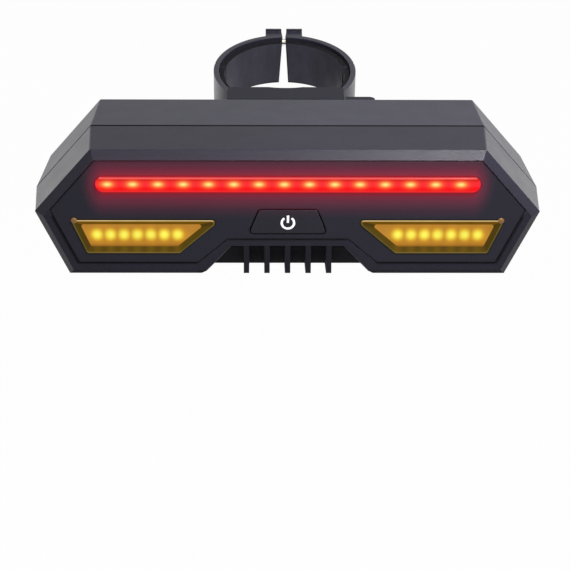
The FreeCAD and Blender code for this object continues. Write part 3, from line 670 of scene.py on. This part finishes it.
def liner_rubber():
    """Soft liner: matt, with faint ribs that grip the post, scuffs from it, and painted shade on its
    end faces.
    """
    s = Shader("liner_rubber")
    rib = s.math("SINE", s.math("MULTIPLY", along_ring(s), 2 * math.pi / rib_pitch))
    drawn = s.noise(140.0, detail=4.0, rough=0.65, place=s.stretch(1.0, 1.0, 0.35))
    scuff = s.share(drawn, 0.42, 0.7)
    _, _, nz = s.split(s.facing)
    end_face_shade = s.above(s.math("ABSOLUTE", nz), 0.8, 0.1)
    tone = s.mix(scuff, linear(LINER, 1.3), linear(LINER, 2.1))
    # Painted shade on the liner's end faces.
    s.link("Base Color", s.mix(end_face_shade, tone, linear(SHADOW)))
    s.link("Roughness", s.most(s.remap(scuff, 0.0, 1.0, 0.62, 0.5), end_face_shade))
    height = s.math("ADD", s.math("MULTIPLY", rib, 0.5), s.noise(5000.0))
    s.bump(height, strength=0.35, distance=0.03 * MM, normal=s.rounded(0.2 * MM))
    s.set(Specular_IOR_Level=0.25)
    return s.material


# Port cover, seals and switch

def cover_rubber():
    """Silicone port cover: duller than the casing, with a soft edge."""
    return moulded("cover_rubber", COVER, rough=0.66, spec=0.25, grain=5000.0, edge=0.4 * MM,
                   edge_paint=0.25).material


def silicone(name):
    s = Shader(name)
    cloud = s.noise(220.0, detail=3.0)
    s.link("Base Color", s.mix(cloud, linear("#26262b"), linear("#34343a")))
    s.link("Roughness", s.spread(cloud, 0.5, 0.7))
    s.bump(s.noise(3000.0), strength=0.2, distance=0.02 * MM, normal=s.rounded(0.1 * MM))
    return s.material


def switch_black(name):
    return moulded(name, "#1a1a1c", rough=0.4, spec=0.4, grain=9000.0).material


# Metal

def steel(name, colour="#c4c6ca", rough=0.2):
    """Zinc-plated steel: fine turning marks, slight yellow clouding and a painted highlight along the
    edges.
    """
    s = Shader(name)
    turned = s.noise(900.0, detail=3.0, rough=0.6, place=s.stretch(0.15, 1.0, 1.0))
    cloud = s.share(s.noise(350.0, detail=3.0), 0.35, 0.65)
    tone = s.mix(cloud, linear(colour), linear("#c9c3b2"))
    soft = s.rounded(0.12 * MM)
    # Painted highlight along the rounded edges.
    s.link("Base Color", s.mix(s.edges(soft), tone, linear("#f2f2f2")))
    s.link("Roughness", s.spread(turned, rough - 0.06, rough + 0.12))
    s.set(Metallic=1.0)
    s.bump(turned, strength=0.25, distance=0.01 * MM, normal=soft)
    return s.material


# Inside: boards, cell, foam and leads

track_pitch = 1.6 * MM
row_pitch = 1.1 * MM
track_blur = 0.06
cell_ring = 3.0 * MM


def board(name, mask_colour, track_colour):
    """Circuit board: solder mask over tracks, with tinned pads and pale edges."""
    s = Shader(name)
    x, _, z = s.split(s.place)
    _, ny, _ = s.split(s.facing)
    lanes = s.repeat(s.math("ADD", x, s.math("MULTIPLY", z, 0.5)), track_pitch)
    rows = s.repeat(z, row_pitch)
    bend = s.above(s.noise(110.0, detail=1.0), 0.5, 0.02)
    lane_track = s.within(lanes, 0.3, 0.62, track_blur)
    row_track = s.within(rows, 0.35, 0.65, track_blur)
    track = s.mix(bend, lane_track, row_track)
    pads = s.below(s.cells(330.0), 0.16, 0.03)
    flat = s.above(s.math("ABSOLUTE", ny), 0.7, 0.1)
    tone = s.mix(track, linear(mask_colour), linear(track_colour))
    tone = s.mix(pads, tone, linear("#c9cbc8"))
    s.link("Base Color", s.mix(flat, linear("#8f8a5a"), tone))
    s.link("Metallic", s.all_of(pads, flat))
    s.link("Roughness", s.spread(s.noise(700.0), 0.28, 0.42))
    s.bump(s.math("ADD", s.math("MULTIPLY", track, 0.5), pads), strength=0.4, distance=0.04 * MM)
    return s.material


def cell_wrap():
    """Battery cell: blue heat-shrink sleeve with a pale end ring and bare metal ends."""
    s = Shader("cell_wrap")
    _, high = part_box("battery_cell")
    x, _, _ = s.split(s.place)
    nx, _, _ = s.split(s.facing)
    end = s.above(s.math("ABSOLUTE", nx), 0.7, 0.1)
    ring = s.above(x, high.x - cell_ring, 0.05 * MM)
    wrap = s.mix(s.noise(90.0, detail=3.0), linear("#1c5a9c"), linear("#2468ac"))
    wrap = s.mix(ring, wrap, linear("#d9dde2"))
    wrinkle = s.noise(160.0, detail=4.0, rough=0.6, place=s.stretch(0.3, 1.0, 1.0))
    s.link("Base Color", s.mix(end, wrap, linear("#b9bcc0")))
    s.link("Metallic", end)
    s.link("Roughness", s.spread(wrinkle, 0.25, 0.4))
    s.bump(wrinkle, strength=0.3, distance=0.08 * MM, normal=s.rounded(0.4 * MM))
    return s.material


def open_foam():
    s = Shader("open_foam")
    holes = s.cells(2200.0)
    # Darker in the pores: painted shade.
    s.link("Base Color", s.mix(holes, linear("#151517"), linear("#3c3c40")))
    s.set(Roughness=0.95, Specular_IOR_Level=0.1)
    s.bump(holes, strength=0.8, distance=0.2 * MM)
    return s.material


def lead_insulation():
    """Battery leads: red one side and black the other, as drawn PVC."""
    s = Shader("lead_insulation")
    x, _, _ = s.split(s.place)
    drawn = s.noise(600.0, detail=3.0, place=s.stretch(0.2, 1.0, 1.0))
    red = s.mix(drawn, linear("#a81418"), linear("#c82024"))
    black = s.mix(drawn, linear("#151517"), linear("#242428"))
    s.link("Base Color", s.mix(s.above(x, 0.0, 1.0 * MM), black, red))
    s.link("Roughness", s.spread(drawn, 0.35, 0.5))
    s.bump(drawn, strength=0.2, distance=0.02 * MM)
    return s.material


# Every node's finish

clamp_plastic = clamp_material()
liner = liner_rubber()
finishes = {
    "front_housing": front_casing(),
    "rear_housing": rear_casing(),
    "front_panel": panel_plastic(),
    "rail_plate": clamp_plastic,
    "clamp_base": clamp_plastic,
    "clamp_liner_base": liner,
    "red_lens": red_lens(),
    "red_light_guide": red_guide(),
    "red_leds": led("red_leds", "#ff4a30", "#ffd9a0", 1.2),
    "power_button": button_plastic(),
    "button_symbol": symbol_white(),
    "button_seal": silicone("button_seal_silicone"),
    "tact_switch": switch_black("switch_body"),
    "switch_plunger": switch_black("switch_plunger_plastic"),
    "main_board": board("board_green", "#0c4a26", "#14683a"),
    "radio_module": board("radio_blue", "#12285e", "#1c3c86"),
    "board_screws": steel("board_screw_steel"),
    "battery_cell": cell_wrap(),
    "battery_holder": moulded("holder_plastic", "#2a2a2e", rough=0.6).material,
    "battery_foam": open_foam(),
    "battery_leads": lead_insulation(),
    "usb_socket": steel("socket_steel", "#cfd1d4", 0.24),
    "usb_cover": cover_rubber(),
    "housing_gasket": silicone("gasket_silicone"),
    "housing_screws": steel("housing_screw_steel"),
    "rail_screws": steel("rail_screw_steel"),
    "clamp_screw": steel("clamp_screw_steel", "#eceef0", 0.1),
    "clamp_nut": steel("clamp_nut_steel", "#d6d8da", 0.2),
}
for side in ("left", "right"):
    finishes[f"clamp_arm_{side}"] = clamp_plastic
    finishes[f"clamp_liner_{side}"] = liner
    finishes[f"amber_lens_{side}"] = amber_lens(side)
    finishes[f"amber_diffuser_{side}"] = amber_diffuser(side)
    finishes[f"amber_leds_{side}"] = led(f"amber_leds_{side}", "#ffb020", "#fff0b0", 1.2)
for node, material in finishes.items():
    shape = nodes[node].data
    shape.materials.clear()
    shape.materials.append(material)
missing = sorted(set(nodes) - set(finishes))
if missing:
    raise SystemExit(f"nodes without a finish: {missing}")


# Beads at the outer corners of the windows

bead_radius = 0.75 * MM
bead_height = 0.4 * MM
bead_skirt = 0.3 * MM
bead_sunk = 0.1 * MM
bead_in = 1.75 * MM
bead_down = 0.75 * MM


def dome_mesh(name, centre, rings=5, sides=20):
    """A low round bead that faces -Y, with its skirt sunk in what carries it."""
    build = bmesh.new()
    profile = [(bead_radius, bead_skirt)]
    for i in range(rings):
        angle = math.pi / 2 * i / rings
        profile.append((bead_radius * math.cos(angle), -bead_height * math.sin(angle)))
    loops = []
    for reach, back in profile:
        loop = []
        for j in range(sides):
            angle = 2 * math.pi * j / sides
            offset = Vector((reach * math.cos(angle), back, reach * math.sin(angle)))
            loop.append(build.verts.new(centre + offset))
        loops.append(loop)
    tip = build.verts.new(centre - Vector((0.0, bead_height, 0.0)))
    for lower, upper in zip(loops, loops[1:]):
        for j in range(sides):
            k = (j + 1) % sides
            build.faces.new((lower[j], lower[k], upper[k], upper[j]))
    for j in range(sides):
        build.faces.new((loops[-1][j], loops[-1][(j + 1) % sides], tip))
    build.faces.new(reversed(loops[0]))
    bmesh.ops.recalc_face_normals(build, faces=build.faces)
    mesh = bpy.data.meshes.new(name)
    build.to_mesh(mesh)
    build.free()
    for face in mesh.polygons:
        face.use_smooth = len(face.vertices) < sides
    return mesh


def amber_bead():
    """Amber plastic that glows faintly."""
    s = Shader("amber_bead")
    cloud = s.noise(900.0, detail=3.0)
    s.link("Emission Color", s.mix(cloud, linear("#7e5a30"), linear("#a87c48")))
    s.link("Roughness", s.spread(cloud, 0.2, 0.3))
    s.set(Base_Color=linear("#5a401c"), Emission_Strength=0.42, Specular_IOR_Level=0.3)
    s.bump(cloud, strength=0.1, distance=0.02 * MM)
    return s.material


bead_material = amber_bead()
for side, sign in (("left", -1), ("right", 1)):
    low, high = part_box(f"amber_lens_{side}")
    outer_x = low.x if sign < 0 else high.x
    spot = Vector((outer_x - sign * bead_in, low.y + bead_sunk, high.z - bead_down))
    mesh = dome_mesh(f"window_bead_{side}", spot)
    mesh.materials.append(bead_material)
    bead = bpy.data.objects.new(f"window_bead_{side}", mesh)
    bpy.context.scene.collection.objects.link(bead)
    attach(bead, "light")


# Floor and sky, white to the camera and plain for the light

floor_drop = 0.32
floor_half = 6.0
floor_white_share = 0.98
horizon_light = 0.5
overhead_light = 0.14


def seen_directly(tree):
    """1 for rays from the camera, from gloss and through clear parts."""
    rays = tree.nodes.new("ShaderNodeLightPath")
    total = rays.outputs["Is Camera Ray"]
    for name in ("Is Glossy Ray", "Is Transmission Ray"):
        either = tree.nodes.new("ShaderNodeMath")
        either.operation = "MAXIMUM"
        tree.links.new(total, either.inputs[0])
        tree.links.new(rays.outputs[name], either.inputs[1])
        total = either.outputs[0]
    return total


def white_to_camera(name, colour, share):
    """A pale surface that looks nearly white to the camera and in gloss, and still takes a shadow."""
    material = bpy.data.materials.new(name)
    material.use_nodes = True
    tree = material.node_tree
    tree.nodes.clear()
    output = tree.nodes.new("ShaderNodeOutputMaterial")
    matt = tree.nodes.new("ShaderNodeBsdfDiffuse")
    matt.inputs["Color"].default_value = linear(colour)
    glow = tree.nodes.new("ShaderNodeEmission")
    glow.inputs["Color"].default_value = WHITE
    part = tree.nodes.new("ShaderNodeMath")
    part.operation = "MULTIPLY"
    part.inputs[1].default_value = share
    mix = tree.nodes.new("ShaderNodeMixShader")
    tree.links.new(seen_directly(tree), part.inputs[0])
    tree.links.new(part.outputs[0], mix.inputs["Fac"])
    tree.links.new(matt.outputs[0], mix.inputs[1])
    tree.links.new(glow.outputs[0], mix.inputs[2])
    tree.links.new(mix.outputs[0], output.inputs["Surface"])
    return material


def pale_floor():
    height = cad_box[0].z - floor_drop
    signs = ((-1, -1), (1, -1), (1, 1), (-1, 1))
    corners = [(x * floor_half, y * floor_half, height) for x, y in signs]
    mesh = bpy.data.meshes.new("floor")
    mesh.from_pydata(corners, [], [(0, 1, 2, 3)])
    mesh.materials.append(white_to_camera("floor_white", "#e8e8e8", floor_white_share))
    floor = bpy.data.objects.new("floor", mesh)
    bpy.context.scene.collection.objects.link(floor)


def studio_sky():
    """White to the camera, and for the light a pale sky that dims from the horizon up."""
    world = bpy.data.worlds.new("studio")
    bpy.context.scene.world = world
    world.use_nodes = True
    tree = world.node_tree
    tree.nodes.clear()
    output = tree.nodes.new("ShaderNodeOutputWorld")
    mix = tree.nodes.new("ShaderNodeMixShader")
    way = tree.nodes.new("ShaderNodeTexCoord")
    height = tree.nodes.new("ShaderNodeSeparateXYZ")
    fade = tree.nodes.new("ShaderNodeMapRange")
    room = tree.nodes.new("ShaderNodeBackground")
    white = tree.nodes.new("ShaderNodeBackground")
    fade.inputs["To Min"].default_value = horizon_light
    fade.inputs["To Max"].default_value = overhead_light
    room.inputs["Color"].default_value = linear("#d9d9de")
    white.inputs["Color"].default_value = WHITE
    tree.links.new(way.outputs["Generated"], height.inputs[0])
    tree.links.new(height.outputs["Z"], fade.inputs["Value"])
    tree.links.new(fade.outputs[0], room.inputs["Strength"])
    tree.links.new(seen_directly(tree), mix.inputs["Fac"])
    tree.links.new(room.outputs[0], mix.inputs[1])
    tree.links.new(white.outputs[0], mix.inputs[2])
    tree.links.new(mix.outputs[0], output.inputs["Surface"])


pale_floor()
studio_sky()


# Lamps

light_middle = (0.0, -0.055, -0.003)
bevel_end = (0.045, -0.067, 0.011)


def area_light(name, place, aim, width, height, watts):
    data = bpy.data.lights.new(name, "AREA")
    data.shape = "RECTANGLE"
    data.size = width
    data.size_y = height
    data.energy = watts
    lamp = bpy.data.objects.new(name, data)
    lamp.location = place
    lamp.rotation_euler = (Vector(aim) - Vector(place)).to_track_quat("-Z", "Y").to_euler()
    lamp.visible_camera = False
    bpy.context.scene.collection.objects.link(lamp)


area_light("top_box", (0.0, -0.15, 0.6), light_middle, width=0.4, height=0.4, watts=0.85)
area_light("left_box", (-0.45, 0.3, 0.03), light_middle, width=0.4, height=0.5, watts=1.45)
area_light("right_box", (0.45, 0.3, 0.03), light_middle, width=0.4, height=0.5, watts=1.35)
area_light("corner_strip", (0.073, -0.127, 0.16), bevel_end, width=0.05, height=0.05, watts=0.55)


# Camera, at the angle of the photograph's upper view

focal_pixels = 1941.0
image_pixels = 570.0
sensor_mm = 36.0
clip_start = 0.01
camera_pitch = math.radians(27.691)
camera_yaw = math.radians(0.974)
camera_roll = math.radians(-0.471)
camera_distance = 0.481324
camera_target = Vector((-0.000364, -0.0552, -0.028763))

camera_data = bpy.data.cameras.new("camera")
camera_data.sensor_width = sensor_mm
camera_data.lens = focal_pixels / image_pixels * sensor_mm
camera_data.clip_start = clip_start
camera = bpy.data.objects.new("camera", camera_data)
bpy.context.scene.collection.objects.link(camera)
turn = Matrix.Rotation(-camera_yaw, 4, "Z") @ Matrix.Rotation(math.pi / 2 - camera_pitch, 4, "X")
turn = turn @ Matrix.Rotation(-camera_roll, 4, "Z")
away = turn @ Vector((0.0, 0.0, 1.0))
camera.matrix_world = Matrix.Translation(camera_target + camera_distance * away) @ turn
bpy.context.scene.camera = camera

bpy.context.scene.view_settings.view_transform = "Standard"
